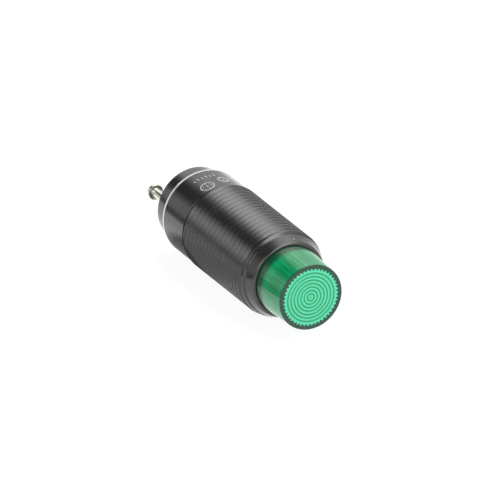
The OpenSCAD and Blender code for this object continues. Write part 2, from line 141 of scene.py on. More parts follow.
class LensSizes(PropertyGroup):
    flutes: count("Flutes", "Flutes around the inside of the wall", 45, 12, 90)
    plate: size("Plate", "Thickness of the front plate at its rings' valleys", 0.8)
    flute_length: size("Flute length", "Length of the flutes behind the front plate", 4.7)
    flute_depth: size("Flute depth", "Depth of a flute", 0.42)
    flute_step: size("Flute step", "Radial step from the bore to the flutes' bottoms", 0.05)
    skirt_r: size("Skirt radius", "Outer radius of the skirt", 6.9)
    wall: size("Skirt wall", "Wall of the skirt", 0.7)
    flange_step: size("Flange step", "Step between the wall and the flange", 0.1)
    flange_top: size("Flange top", "Height of the flange above the housing's rim", 1.12)
    flange_foot: size("Flange foot", "Depth of the flange below the housing's rim", 1.2)
    ring_pitch: size("Ring pitch", "Distance from one ring of the plate to the next", 0.745)
    ring_depth: size("Ring depth", "Depth of the valleys between the rings", 0.25)
    edge_round: size("Edge rounding", "Rounding of the front edge", 0.12)
    draft: angle("Draft", "Draft angle of the wall", 2.25)
    tint: shade("Tint", "Colour that the plastic lets through", (0.22, 0.91, 0.7))
    density: FloatProperty(name="Density", description="How fast the plastic takes light away, per metre",
                           default=1200.0, min=0.0)
    # Painted light and shade: the lens's skin is laid with lit and shaded copies of its green; each cloud share
    # is how much of that skin shows them instead of passing light
    cloud: share("Cloud", "Share of the light that the wall's skin scatters", 0.7)
    # Painted shade: a darker green over the wall, whose inside lies in shade
    wall_painted_shade: shade("Wall", "Colour that the wall's skin scatters", (0.006, 0.37, 0.135))
    # Painted shade: darker streaks along the wall and stripes over the flutes behind it
    wall_painted_streaks: shade("Wall streaks", "Colour of the darker streaks along the wall", (0.003, 0.25, 0.085))
    # Painted shade: a dark green along the flange and the wall's foot
    flange_painted_shade: shade("Flange", "Colour that the flange scatters", (0.004, 0.07, 0.03))
    # Radius of the painted dark rim round the face; the painted rings stop at the last ridge inside it
    rim_r: size("Rim radius", "Radius past which nothing pale lies behind the face", 6.2)
    # Painted shade round the face's rim
    rim_painted_shade: shade("Rim", "Colour that the face's rim scatters", (0.003, 0.055, 0.03))
    # Share of the face that shows its painted rings and rim instead of passing light
    face_paint_share: share("Face cloud", "Share of the light that the face's skin scatters", 0.62)
    # Painted light over the rings' ridges
    ridge_painted_light: shade("Ridges", "Colour that the face scatters over the rings' ridges", (0.075, 0.7, 0.4))
    # Painted shade over the rings' valleys
    valley_painted_shade: shade("Valleys", "Colour that the face scatters over the rings' valleys", (0.012, 0.26, 0.11))
    # Share of the plate's ringed inside that shows painted light instead of passing light
    plate_paint_share: share("Ring cloud", "Share of the light that the plate's ringed inside scatters", 0.5)
    # Painted light: a pale green over the plate's ringed inside
    plate_painted_light: shade("Plate inside", "Colour that the plate's ringed inside scatters", (0.45, 0.9, 0.8))


class TerminalSizes(PropertyGroup):
    neck_r: size("Neck radius", "Radius of a terminal's neck", 0.95)
    head_t: size("Head", "Thickness of the head", 0.94)
    head_r: size("Head radius", "Radius of the head", 1.67)
    shoulder_r: size("Shoulder radius", "Radius of the shoulder on the cap", 1.8)
    shoulder_t: size("Shoulder", "Thickness of the shoulder", 0.7)
    cap_floor: size("Cap floor", "Thickness of the rear cap's floor", 3.0)
    swage_r: size("Swage radius", "Radius of the swaged ring", 1.5)
    swage_t: size("Swage", "Thickness of the swaged ring", 0.5)
    stub: size("Stub", "Length of the solder cup", 1.8)
    cup_hole: size("Cup hole", "Depth of the hole in the solder cup", 2.0)
    cup_hole_r: size("Cup hole radius", "Radius of the hole in the solder cup", 0.37)
    tin: shade("Tin", "Colour of the tinned terminals", (0.72, 0.71, 0.64))
    roughness: share("Roughness", "Roughness of the tinned terminals", 0.24)


class StageSizes(PropertyGroup):
    azimuth: angle("Azimuth", "Camera's angle round the light", -26.9)
    elevation: angle("Elevation", "Camera's angle above the floor", 23.8)
    distance: size("Distance", "Camera's distance", 4600)
    view_width: size("View width", "Width of what the camera sees", 100.8)
    right: size("Right", "How far right of the view's middle the mouth lies", 7.92)
    down: size("Down", "How far below the view's middle the mouth lies", 6.10)
    floor: size("Floor", "Radius of the floor", 3000)


# Shapes ----------------------------------------------------------------------

def turned(radius, depth, columns):
    """Points of a turned surface, as rows by columns by XYZ.

    Row k, column i lies at angle a = i turns / columns: X = radius cos a, Z = radius sin a, and Y is the
    front rim's plus the depth. Radius and depth are one value a row, or one a row and column.
    """
    radius = np.asarray(radius, float)
    depth = np.asarray(depth, float)
    a = np.arange(columns) * TAU / columns
    radius = np.broadcast_to(radius.reshape(len(radius), -1), (len(radius), columns))
    depth = np.broadcast_to(depth.reshape(len(depth), -1), (len(depth), columns))
    return np.stack([radius * np.cos(a), FRONT_Y + depth, radius * np.sin(a)], axis=-1)


def rounded(corners, steps=5):
    """Profile through corners (radius, depth, rounding) as an array of (radius, depth).

    A corner with a rounding becomes the arc of that radius that touches both of its legs.
    """
    at = [np.array(c[:2], float) for c in corners]
    parts = []
    for k, (_, _, r) in enumerate(corners):
        if r == 0:
            parts.append(at[k][None])
            continue
        u = at[k - 1] - at[k]
        v = at[(k + 1) % len(at)] - at[k]
        u = u / np.linalg.norm(u)
        v = v / np.linalg.norm(v)
        half = math.acos(np.clip(u @ v, -1, 1)) / 2
        centre = at[k] + (u + v) / np.linalg.norm(u + v) * r / math.sin(half)
        first = at[k] + u * r / math.tan(half) - centre
        last = at[k] + v * r / math.tan(half) - centre
        start = math.atan2(first[1], first[0])
        turn = (math.atan2(last[1], last[0]) - start + 3 * math.pi) % TAU - math.pi
        a = start + turn * np.linspace(0, 1, steps + 1)
        parts.append(centre + r * np.stack([np.cos(a), np.sin(a)], axis=-1))
    return np.concatenate(parts)


def band(rows, columns, first=0):
    """Quads between neighbouring rows of a grid whose columns close round the axis."""
    k, i = np.meshgrid(np.arange(rows - 1), np.arange(columns), indexing="ij")
    j = (i + 1) % columns
    quads = np.stack([k * columns + i, (k + 1) * columns + i, (k + 1) * columns + j, k * columns + j], -1)
    return quads.reshape(-1, 4) + first


def make_piece(name, points, quads, sharp=32.0):
    """A smooth-shaded object of these points and quads.

    Doubles are merged, so poles and seams close and flattened quads become triangles or go; normals then
    point outwards, and edges sharper than the given angle stay crisp.
    """
    mesh = bpy.data.meshes.new(name)
    mesh.from_pydata(np.asarray(points).reshape(-1, 3).tolist(), [], quads.tolist())
    work = bmesh.new()
    work.from_mesh(mesh)
    bmesh.ops.remove_doubles(work, verts=work.verts, dist=2e-7)
    bmesh.ops.dissolve_degenerate(work, edges=work.edges, dist=1e-7)
    bmesh.ops.recalc_face_normals(work, faces=work.faces)
    work.to_mesh(mesh)
    work.free()
    mesh.polygons.foreach_set("use_smooth", np.ones(len(mesh.polygons), bool))
    mesh.set_sharp_from_angle(angle=math.radians(sharp))
    mesh.update()
    piece = bpy.data.objects.new(name, mesh)
    bpy.context.scene.collection.objects.link(piece)
    return piece


def slot_of(node):
    """The record's material slot of a CAD node."""
    return next(s["material_slot"] for s in frame["record"]["subparts"] if s["node"] == node)


def settle(piece, finish, slot, *nodes):
    """Gives a piece its finish, lets it ride on the light and hides the CAD nodes it stands for; the slot is not
    used.
    """
    piece.data.materials.append(finish)
    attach(piece, "root")
    if nodes:
        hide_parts(*nodes)
    return piece


# Finishes --------------------------------------------------------------------

def finish(name, base, roughness, metallic=0.0, ior=1.5):
    """A principled material with its constant values on its own sockets, and its shader."""
    m = bpy.data.materials.new(name)
    m.use_nodes = True
    shader = m.node_tree.nodes["Principled BSDF"]
    shader.inputs["Base Color"].default_value = (*base, 1)
    shader.inputs["Roughness"].default_value = roughness
    shader.inputs["Metallic"].default_value = metallic
    shader.inputs["IOR"].default_value = ior
    return m, shader


def add(m, kind, sockets=(), **settings):
    """A new node with its settings, and its sockets' values by name or number."""
    n = m.node_tree.nodes.new(kind)
    for key, value in settings.items():
        setattr(n, key, value)
    for key, value in dict(sockets).items():
        n.inputs[key].default_value = value
    return n


def wire(m, output, socket):
    """Links an output to an input."""
    m.node_tree.links.new(output, socket)


def grain(m, scale, detail=3.0, stretch=(1, 1, 1)):
    """Noise on the piece's own coordinates: scale is in features a metre, and stretch squeezes it by axis."""
    where = add(m, "ShaderNodeTexCoord")
    squeeze = add(m, "ShaderNodeMapping", {"Scale": stretch})
    noise = add(m, "ShaderNodeTexNoise", {"Scale": scale, "Detail": detail})
    wire(m, where.outputs["Object"], squeeze.inputs["Vector"])
    wire(m, squeeze.outputs["Vector"], noise.inputs["Vector"])
    return noise.outputs["Fac"]


def ramp(m, source, stops):
    """Colours along an output: stops are (position, colour)."""
    n = add(m, "ShaderNodeValToRGB")
    marks = n.color_ramp.elements
    while len(marks) < len(stops):
        marks.new(0.5)
    for mark, (position, tone) in zip(marks, stops):
        mark.position = position
        mark.color = (*tone, 1)
    wire(m, source, n.inputs["Fac"])
    return n.outputs["Color"]


def grey(value):
    """The same value in red, green and blue."""
    return (value, value, value)


def calc(m, operation, source, *numbers):
    """A sum worked on an output and plain numbers."""
    n = add(m, "ShaderNodeMath", dict(enumerate(numbers, 1)), operation=operation)
    wire(m, source, n.inputs[0])
    return n.outputs["Value"]


def raise_by(m, shader, height, strength, distance):
    """Bumps the surface by a height, over a real distance in metres."""
    bump = add(m, "ShaderNodeBump", {"Strength": strength, "Distance": distance})
    wire(m, height, bump.inputs["Height"])
    wire(m, bump.outputs["Normal"], shader.inputs["Normal"])


def dust(m, spacing, radius, share_kept):
    """1 on sparse round specks and 0 elsewhere, from cells of the given spacing in metres."""
    where = add(m, "ShaderNodeTexCoord")
    cells = add(m, "ShaderNodeTexVoronoi", {"Scale": 1 / spacing, "Randomness": 1.0})
    wire(m, where.outputs["Object"], cells.inputs["Vector"])
    near = calc(m, "LESS_THAN", cells.outputs["Distance"], radius / spacing)
    split = add(m, "ShaderNodeSeparateColor")
    wire(m, cells.outputs["Color"], split.inputs["Color"])
    return times(m, near, calc(m, "LESS_THAN", split.outputs[0], share_kept))


def place(m):
    """The piece's own X, Y and Z as three outputs."""
    split = add(m, "ShaderNodeSeparateXYZ")
    wire(m, add(m, "ShaderNodeTexCoord").outputs["Object"], split.inputs["Vector"])
    return split.outputs["X"], split.outputs["Y"], split.outputs["Z"]


def reach(m):
    """Distance from the light's axis."""
    flat = add(m, "ShaderNodeMapping", {"Scale": (1, 0, 1)})
    wire(m, add(m, "ShaderNodeTexCoord").outputs["Object"], flat.inputs["Vector"])
    n = add(m, "ShaderNodeVectorMath", operation="LENGTH")
    wire(m, flat.outputs["Vector"], n.inputs[0])
    return n.outputs["Value"]


def rise(m, source, start, end, low=0.0, high=1.0):
    """A smooth change from the low value to the high one while an output goes from start to end."""
    n = add(m, "ShaderNodeMapRange", {1: start, 2: end, 3: low, 4: high}, interpolation_type="SMOOTHSTEP")
    wire(m, source, n.inputs[0])
    return n.outputs["Result"]


def swell(m, source, rate):
    """A wave from 0 to 1: half of 1 less the cosine of an output times the rate."""
    wave = calc(m, "COSINE", calc(m, "MULTIPLY", source, rate))
    return calc(m, "MULTIPLY_ADD", wave, -0.5, 0.5)


def paired(m, operation, first, second):
    """A sum worked on two outputs."""
    n = add(m, "ShaderNodeMath", operation=operation)
    wire(m, first, n.inputs[0])
    wire(m, second, n.inputs[1])
    return n.outputs["Value"]


def times(m, first, second):
    """The product of two outputs."""
    return paired(m, "MULTIPLY", first, second)


def angle_of(m, z, x):
    """The angle round the light's axis, in radians from X towards Z."""
    return paired(m, "ARCTAN2", z, x)


def painted(m, mask, under, over):
    """One colour where the mask is 0 and another where it is 1; each is a colour or an output."""
    n = add(m, "ShaderNodeMix", data_type="RGBA")
    wire(m, mask, n.inputs[0])
    for socket, colour in ((n.inputs[6], under), (n.inputs[7], over)):
        if isinstance(colour, bpy.types.NodeSocket):
            wire(m, colour, socket)
        else:
            socket.default_value = (*colour, 1)
    return n.outputs[2]


def black_plastic(name, base, roughness, cut=None, cut_y=0.0):
    """Glossy black moulding: uneven gloss, a faint ripple and a few specks of pale dust.

    Where a cut colour is given, the plastic behind that Y takes that pale colour instead.
    """
    m, shader = finish(name, base, roughness, ior=1.58)
    gloss = ramp(m, grain(m, 300, 4), [(0.35, grey(roughness * 0.8)), (0.7, grey(roughness * 1.3))])
    wire(m, gloss, shader.inputs["Roughness"])
    raise_by(m, shader, grain(m, 800, 2), 0.1, 0.00002)
    specks = ramp(m, dust(m, 0.0016, 0.00013, 0.1), [(0.0, base), (1.0, (0.3, 0.3, 0.29))])
    if cut is not None:
        # The plastic behind this Y is laid pale
        specks = painted(m, rise(m, place(m)[1], cut_y, cut_y + 0.05 * MM), specks, cut)
    wire(m, specks, shader.inputs["Base Color"])
    return m


def clear_green(name, s):
    """Clear green plastic, polished, with a tint that deepens with the way through it.

    Over a share of its skin, light and shade are painted into its colour: a shaded green over the wall, painted
    shade in streaks along the wall, in the flutes' stripes and along the flange, painted shade round the face's
    rim with the flutes' teeth painted bright inside it, painted light over the rings' ridges and painted shade in
    their valleys, and a pale painted light over the plate's ringed inside.
    """
    m, shader = finish(name, grey(1.0), 0.0, ior=1.5)
    x, y, z = place(m)
    r = reach(m)
    face_y = FRONT_Y + FACE_DEPTH
    edge = 0.01 * MM
    outer = rise(m, r, s.skirt_r - 0.35 * MM, s.skirt_r - 0.3 * MM)
    wall = times(m, outer, rise(m, y, face_y + s.edge_round, face_y + s.edge_round + edge))
    front = rise(m, y, face_y + s.edge_round, face_y + s.edge_round + edge, 1.0, 0.0)
    wave = swell(m, angle_of(m, z, x), s.flutes)
    toothed = add(m, "ShaderNodeMath", {1: s.flute_depth}, operation="MULTIPLY_ADD")
    wire(m, wave, toothed.inputs[0])
    wire(m, r, toothed.inputs[2])
    # Painted shade round the face's rim, its edge waved by the flutes' teeth, which inside it take the ridges'
    # painted light
    rim = times(m, front, rise(m, toothed.outputs["Value"], s.rim_r - 0.08 * MM, s.rim_r + 0.08 * MM))
    plate_y = face_y + s.plate - 5 * edge
    cavity_y = face_y + s.plate + s.ring_depth + edge
    ringed = times(m, rise(m, y, plate_y, plate_y + edge), rise(m, y, cavity_y, cavity_y + edge, 1.0, 0.0))
    clear = None
    # Where the masks lie, these shares of the passing light give way to the painted light and shade below
    for mask, part in ((wall, s.cloud), (front, s.face_paint_share), (ringed, s.plate_paint_share)):
        left = calc(m, "MULTIPLY_ADD", mask, -part, 1.0)
        clear = left if clear is None else times(m, clear, left)
    wire(m, clear, shader.inputs["Transmission Weight"])
    flute_y = face_y + s.plate + s.flute_length
    # Painted shade: dark stripes over the flutes and darker streaks along the wall
    flutes = times(m, wave, rise(m, y, flute_y - MM, flute_y, 1.0, 0.0))
    streaks = ramp(m, grain(m, 1500, 3, (1, 0.06, 1)), [(0.35, s.wall_painted_streaks), (0.6, s.wall_painted_shade)])
    striped = painted(m, flutes, streaks, s.wall_painted_streaks)
    # Painted shade: the wall's green darkens towards the flange
    foot = FRONT_Y - s.flange_top
    skin = painted(m, rise(m, y, foot - 1.9 * MM, foot - 0.1 * MM), striped, s.flange_painted_shade)
    # Painted light and shade on the face: bright rings over the ridges and dark ones over the valleys
    last_ridge = s.ring_pitch * (math.floor(s.rim_r / s.ring_pitch - 0.5) + 0.5)
    rings = swell(m, calc(m, "MINIMUM", r, last_ridge), TAU / s.ring_pitch)
    ridges = ramp(m, rings, [(0.1, s.valley_painted_shade), (0.8, s.ridge_painted_light)])
    # The plate's ringed inside takes a pale painted light
    face = painted(m, front, painted(m, ringed, grey(1.0), s.plate_painted_light), painted(m, rim, ridges, s.rim_painted_shade))
    wire(m, painted(m, wall, face, skin), shader.inputs["Base Color"])
    bulk = add(m, "ShaderNodeVolumeAbsorption", {"Color": (*s.tint, 1), "Density": s.density})
    wire(m, bulk.outputs["Volume"], m.node_tree.nodes["Material Output"].inputs["Volume"])
    return m


def tinned(name, base, roughness):
    """Tin plate with turning marks round the post and a patchy shine."""
    m, shader = finish(name, base, roughness, 1.0)
    dull = tuple(0.72 * c for c in base)
    wire(m, ramp(m, grain(m, 500, 4), [(0.3, dull), (0.65, base)]), shader.inputs["Base Color"])
    shine = ramp(m, grain(m, 900, 3), [(0.3, grey(roughness * 0.7)), (0.75, grey(roughness * 1.6))])
    wire(m, shine, shader.inputs["Roughness"])
    raise_by(m, shader, grain(m, 400, 3, (1, 9, 1)), 0.35, 0.00004)
    return m


def mottled(name, light, dark, roughness, scale, metallic=0.0, bump=0.1, stretch=(1, 1, 1)):
    """A finish that wanders between two shades, with a grain of the same scale."""
    m, shader = finish(name, light, roughness, metallic)
    texture = grain(m, scale, 4, stretch)
    wire(m, ramp(m, texture, [(0.3, dark), (0.7, light)]), shader.inputs["Base Color"])
    raise_by(m, shader, texture, bump, 0.00003)
    return m


# Housing ---------------------------------------------------------------------

COLUMNS = 240
NOSE_ROWS = 49


def thread_section(s):
    """Profile (radial drop, place) of one pitch, from a groove's bottom to the next one's.

    The flanks stand at 60 degrees to each other, so a groove is its half width times tan 60 degrees deep.
    Its corners are rounded.
    """
    groove_half = (s.pitch - s.crest_flat) / 2
    deep = (groove_half - s.root_flat / 2) * math.tan(math.radians(60))
    return rounded([
        (-deep, 0, 0),
        (-deep, s.root_flat / 2, s.edge_round),
        (0, groove_half, s.edge_round),
        (0, s.pitch - groove_half, s.edge_round),
        (-deep, s.pitch - s.root_flat / 2, s.edge_round),
        (-deep, s.pitch, 0),
    ], steps=3)


def thread_radius(s, section, first, turn, depth):
    """Radius of the threaded surface at an angle, in turns, and a depth.

    A groove's bottom lies at first groove + (n - turn) pitches, so the thread is right-handed. On the nose the
    crests are cut down to its taper, a straight line from the lip's rear edge to the crests' radius.
    """
    place = ((depth - first) / s.pitch + turn) % 1.0 * s.pitch
    radius = CREST_R + np.interp(place, section[:, 1], section[:, 0])
    lip_r = FLANGE_R + s.slip + s.lip
    taper = lip_r + (CREST_R - lip_r) * (depth - s.bevel) / (s.nose - s.bevel)
    return np.minimum(radius, np.minimum(taper, CREST_R))


def threaded_parts(s):
    """Points and quads of the thread, and the radius and depth of its rear edge and of the nose.

    The thread's rows follow the helix, so that each crest and root keeps its own rows: row j of turn n at an
    angle lies at depth = first groove + (n - turns) pitches + the row's place, held inside the thread's
    length. The last column joins the first one a turn further back. The nose has plain rows.
    """
    end = s.nose + s.thread
    grooves = int(s.thread / s.pitch)
    first = s.nose + (s.thread - (grooves - 1) * s.pitch) / 2
    section = thread_section(s)
    per_turn = len(section) - 1
    turn = np.arange(COLUMNS) / COLUMNS
    row = np.arange((grooves + 2) * per_turn)
    depth = first + (row // per_turn - 1)[:, None] * s.pitch - turn * s.pitch
    depth = np.clip(depth + section[row % per_turn, 1][:, None], s.nose, end)
    points = turned(thread_radius(s, section, first, turn, depth), depth, COLUMNS)
    k, i = np.meshgrid(np.arange(len(row) - 1), np.arange(COLUMNS), indexing="ij")
    k_next = k - np.where(i == COLUMNS - 1, per_turn, 0)
    i_next = (i + 1) % COLUMNS
    quads = np.stack([k * COLUMNS + i, (k + 1) * COLUMNS + i, (k_next + 1) * COLUMNS + i_next,
                      k_next * COLUMNS + i_next], -1).reshape(-1, 4)
    quads = quads[k_next.reshape(-1) >= 0]
    rear_edge = thread_radius(s, section, first, turn, end)
    nose_depth = np.linspace(s.bevel, s.nose, NOSE_ROWS)
    nose = thread_radius(s, section, first, turn, nose_depth[:, None])
    return points.reshape(-1, 3), quads, rear_edge, nose_depth, nose


def body_profile(s):
    """Profile (radius, depth) of the housing from the thread's rear end round to the lip's rear edge."""
    hole_r = CAP_R + s.slip
    barrel_r = hole_r + s.barrel_wall
    mouth_r = FLANGE_R + s.slip
    return rounded([
        (barrel_r - 0.06 * MM, s.nose + s.thread, 0),
        (barrel_r, s.nose + s.thread + 0.06 * MM, 0),
        (barrel_r, HOUSING_LENGTH - s.rim_length, 0.1 * MM),
        (barrel_r - s.rim_drop, HOUSING_LENGTH, 0.04 * MM),
        (hole_r, HOUSING_LENGTH, 0.05 * MM),
        (hole_r, CAP_DEPTHS[0], 0),
        (CHAMBER_R, CAP_DEPTHS[0], 0),
        (CHAMBER_R, BOARD_DEPTH, 0),
        (BORE_R, BOARD_DEPTH, 0),
        (BORE_R, GASKET_DEPTHS[1], 0),
        (mouth_r, GASKET_DEPTHS[1], 0),
        (mouth_r, 0, 0.06 * MM),
        (mouth_r + s.lip_face, 0, s.lip_round),
        (mouth_r + s.lip, s.bevel, 0),
    ])


class PILOT_OT_housing(Operator):
    """Make the housing: a tapered nose, a helical panel thread and a plain barrel"""
    bl_idname = "pilot.housing"
    bl_label = "Threaded housing"

    def execute(self, context):
        s = context.scene.pilot_housing
        points, quads, rear_edge, nose_depth, nose = threaded_parts(s)
        profile = body_profile(s)
        plain = np.repeat(profile[:, :1], COLUMNS, axis=1)
        radius = np.concatenate([rear_edge[None], plain, nose])
        depth = np.concatenate([[s.nose + s.thread], profile[:, 1], nose_depth])
        rest = turned(radius, depth, COLUMNS)
        quads = np.concatenate([quads, band(len(rest), COLUMNS, len(points))])
        points = np.concatenate([points, rest.reshape(-1, 3)])
        piece = make_piece("threaded_housing", points, quads)
        # The slope round the rear rim is laid pale
        slope = FRONT_Y + HOUSING_LENGTH - s.rim_length
        plastic = black_plastic("black_moulding", s.plastic, s.roughness, s.cut, slope)
        settle(piece, plastic, slot_of("housing"), "housing")
        return {"FINISHED"}


# Moulder's marks -------------------------------------------------------------

def bead(path, barrel_r, half, rise):
    """Points of a raised line on the barrel, as rows along the path by columns across it.

    The path runs in (arc length, depth). A point across it at angle v from 0 to half a turn lies half the
    line's width times cos v to its side and the rise times sin v above the barrel; both shrink to a point at
    the line's ends.
    """
    path = np.asarray(path, float)
    along = np.gradient(path, axis=0)
    along = along / np.linalg.norm(along, axis=1, keepdims=True)
    side = np.stack([-along[:, 1], along[:, 0]], -1)
    closed = np.allclose(path[0], path[-1])
    if closed:
        side[0] = side[-1] = (side[0] + side[-1]) / np.linalg.norm(side[0] + side[-1])
    v = np.linspace(0, math.pi, 7)
    taper = np.ones(len(path))
    if not closed:
        taper[[0, -1]] = 0.0
    flat = path[:, None] + side[:, None] * (half * np.cos(v) * taper[:, None])[..., None]
    radius = barrel_r - 0.02 * MM + (rise + 0.02 * MM) * np.sin(v) * taper[:, None]
    turn = flat[..., 0] / barrel_r
    return np.stack([radius * np.cos(turn), FRONT_Y + flat[..., 1], radius * np.sin(turn)], -1)


def strip(rows, columns, first=0):
    """Quads between neighbouring rows of an open grid."""
    k, i = np.meshgrid(np.arange(rows - 1), np.arange(columns - 1), indexing="ij")
    a = k * columns + i
    return np.stack([a, a + columns, a + columns + 1, a + 1], -1).reshape(-1, 4) + first


def circle(centre, radius, start=0.0, end=TAU, steps=48):
    """Points round a circle in (arc length, depth)."""
    a = np.linspace(start, end, steps + 1)
    return np.asarray(centre) + radius * np.stack([np.cos(a), np.sin(a)], -1)


def stroke(start, end, steps=6):
    """Points along a straight line in (arc length, depth)."""
    t = np.linspace(0, 1, steps + 1)[:, None]
    return np.asarray(start) * (1 - t) + np.asarray(end) * t


class PILOT_OT_marks(Operator):
    """Make the moulder's dials and tally marks that stand out of the barrel"""
    bl_idname = "pilot.marks"
    bl_label = "Raised marks"

    def execute(self, context):
        s = context.scene.pilot_marks
        h = context.scene.pilot_housing
        barrel_r = CAP_R + h.slip + h.barrel_wall
        first_row = h.nose + h.thread
        paths = []
        for turn, depth, radius in ((106, 1.95, s.dial), (80, 3.1, s.dial * 0.8)):
            centre = np.array([math.radians(turn) * barrel_r, first_row + depth * MM])
            paths.append(circle(centre, radius))
            for a in np.arange(s.ticks) * TAU / s.ticks:
                out = np.array([math.cos(a), math.sin(a)])
                paths.append(stroke(centre + out * radius * 0.62, centre + out * radius * 0.84))
            paths.append(stroke(centre - (0, radius * 0.4), centre + (0, radius * 0.4)))
        for k in range(6):
            x = math.radians(112 - 5.5 * k) * barrel_r
            y = first_row + 5.2 * MM
            paths.append(stroke((x, y), (x + 0.25 * MM, y + (0.9 + 0.35 * (k % 2)) * MM)))
        points, quads, first = [], [], 0
        for path in paths:
            grid = bead(path, barrel_r, s.bead, s.rise)
            quads.append(strip(len(grid), grid.shape[1], first))
            points.append(grid.reshape(-1, 3))
            first += len(points[-1])
        piece = make_piece("raised_marks", np.concatenate(points), np.concatenate(quads), sharp=80)
        # The lines' pale colour is a painted highlight for the glint along their edges
        settle(piece, black_plastic("glint_painted_lines", s.glint_paint, h.roughness * 2), slot_of("housing"))
        return {"FINISHED"}


# Lens ------------------------------------------------------------------------

STEPS_PER_FLUTE = 8
STEPS_PER_RING = 12


def flute_wave(s, columns):
    """Radius of the fluted bore by column: a wave of rounded V's, one a flute, between bottom and crest."""
    bottom = s.skirt_r - s.wall - s.flute_step
    a = np.arange(columns) * TAU / columns
    wave = np.arcsin(0.96 * np.cos(s.flutes * a)) / math.asin(0.96)
    return bottom - s.flute_depth * (1 - wave) / 2


def plate_rings(s, inner_r):
    """Radius and depth of the front plate's inner face from its rim to the middle.

    Its thickness is the plate's plus half the ring depth times 1 less the cosine of the radius in ring
    pitches; outside the last whole ridge it stays at that ridge's thickness.
    """
    ridges = math.floor(inner_r / s.ring_pitch - 0.5)
    radius = np.arange((ridges + 0.5) * STEPS_PER_RING, -1, -1) / STEPS_PER_RING * s.ring_pitch
    thickness = s.plate + s.ring_depth / 2 * (1 - np.cos(TAU * radius / s.ring_pitch))
    return radius, FACE_DEPTH + thickness


class PILOT_OT_lens(Operator):
    """Make the lens: a drafted cylinder with a ringed front plate and flutes inside its wall"""
    bl_idname = "pilot.lens"
    bl_label = "Fluted lens"

    def execute(self, context):
        s = context.scene.pilot_lens
        columns = s.flutes * STEPS_PER_FLUTE
        base_r = FLANGE_R - s.flange_step
        face_r = base_r + (FACE_DEPTH + s.flange_top) * math.tan(s.draft)
        bore_r = s.skirt_r - s.wall
        inner_depth = FACE_DEPTH + s.plate + s.ring_depth
        flute_foot = FACE_DEPTH + s.plate + s.flute_length
        outside = rounded([
            (0, FACE_DEPTH, 0),
            (face_r, FACE_DEPTH, s.edge_round),
            (base_r, -s.flange_top, 0.05 * MM),
            (FLANGE_R, -s.flange_top, 0.04 * MM),
            (FLANGE_R, s.flange_foot, 0),
            (s.skirt_r, s.flange_foot, 0),
            (s.skirt_r, SKIRT_DEPTH, 0),
            (bore_r, SKIRT_DEPTH, 0),
            (bore_r, flute_foot, 0),
        ])
        outer = turned(outside[:, 0], outside[:, 1], columns)
        wave = flute_wave(s, columns)
        fluted = turned(np.stack([wave, wave]), np.array([flute_foot, inner_depth]), columns)
        radius, depth = plate_rings(s, bore_r - s.flute_step - s.flute_depth)
        rings = turned(radius, depth, columns)
        points = np.concatenate([outer, fluted, rings])
        piece = make_piece("fluted_lens", points, band(len(points), columns), sharp=28)
        settle(piece, clear_green("clear_green_plastic", s), slot_of("lens"), "lens")
        return {"FINISHED"}


# Terminals -------------------------------------------------------------------

class PILOT_OT_terminals(Operator):
    """Make the two turret terminals that stand out behind the cap"""
    bl_idname = "pilot.terminals"
    bl_label = "Turret terminals"

    def execute(self, context):
        s = context.scene.pilot_terminals
        tin = tinned("tin_plate", s.tin, s.roughness)
        for side in ("left", "right"):
            low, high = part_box("terminal_" + side)
            x = (low.x + high.x) / 2
            tip = high.y - FRONT_Y
            rear = CAP_DEPTHS[1]
            floor = rear - s.cap_floor
            profile = rounded([
                (0, tip, 0),
                (s.head_r, tip, s.head_t * 0.35),
                (s.head_r, tip - s.head_t, s.head_t * 0.15),
                (s.neck_r, tip - s.head_t, 0.06 * MM),
                (s.neck_r, rear + s.shoulder_t, 0.1 * MM),
                (s.shoulder_r, rear + s.shoulder_t, s.shoulder_t * 0.3),
                (s.shoulder_r, rear, 0),
                (s.neck_r, rear, 0),
                (s.neck_r, floor, 0),
                (s.swage_r, floor, 0),
                (s.swage_r - s.swage_t * 0.4, floor - s.swage_t, 0),
                (s.neck_r, floor - s.swage_t, 0),
                (s.neck_r, floor - s.stub, 0),
                (s.cup_hole_r, floor - s.stub, 0),
                (s.cup_hole_r, floor - s.stub + s.cup_hole, 0),
                (0, floor - s.stub + s.cup_hole, 0),
            ])
            points = turned(profile[:, 0], profile[:, 1], 72) + np.array([x, 0, 0])
            piece = make_piece("turret_" + side, points, band(len(points), 72))
            settle(piece, tin, slot_of("terminal_" + side), "terminal_" + side)
        return {"FINISHED"}


# Pieces kept from the frame --------------------------------------------------

def smooth_copy(node, name):
    """A merged, smooth-shaded copy of a CAD node's mesh, which then stands for the node."""
    mesh = frame["nodes"][node].data.copy()
    mesh.name = name
    mesh.materials.clear()
    work = bmesh.new()
    work.from_mesh(mesh)
    bmesh.ops.remove_doubles(work, verts=work.verts, dist=1e-6)
    work.to_mesh(mesh)
    work.free()
    if mesh.has_custom_normals:
        mesh.attributes.remove(mesh.attributes["custom_normal"])
    mesh.polygons.foreach_set("use_smooth", np.ones(len(mesh.polygons), bool))
    mesh.set_sharp_from_angle(angle=math.radians(25))
    piece = bpy.data.objects.new(name, mesh)
    bpy.context.scene.collection.objects.link(piece)
    return piece


def coat(finish_made, *nodes):
    """Gives CAD nodes a finish."""
    for node in nodes:
        mesh = frame["nodes"][node].data
        mesh.materials.clear()
        mesh.materials.append(finish_made)


class PILOT_OT_rear_cap(Operator):
    """Make the rear cap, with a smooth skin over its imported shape"""
    bl_idname = "pilot.rear_cap"
    bl_label = "Rear cap"

    def execute(self, context):
        s = context.scene.pilot_housing
        piece = smooth_copy("rear_cap", "back_cap")
        settle(piece, black_plastic("black_cap_plastic", s.plastic, s.roughness), slot_of("rear_cap"), "rear_cap")
        return {"FINISHED"}


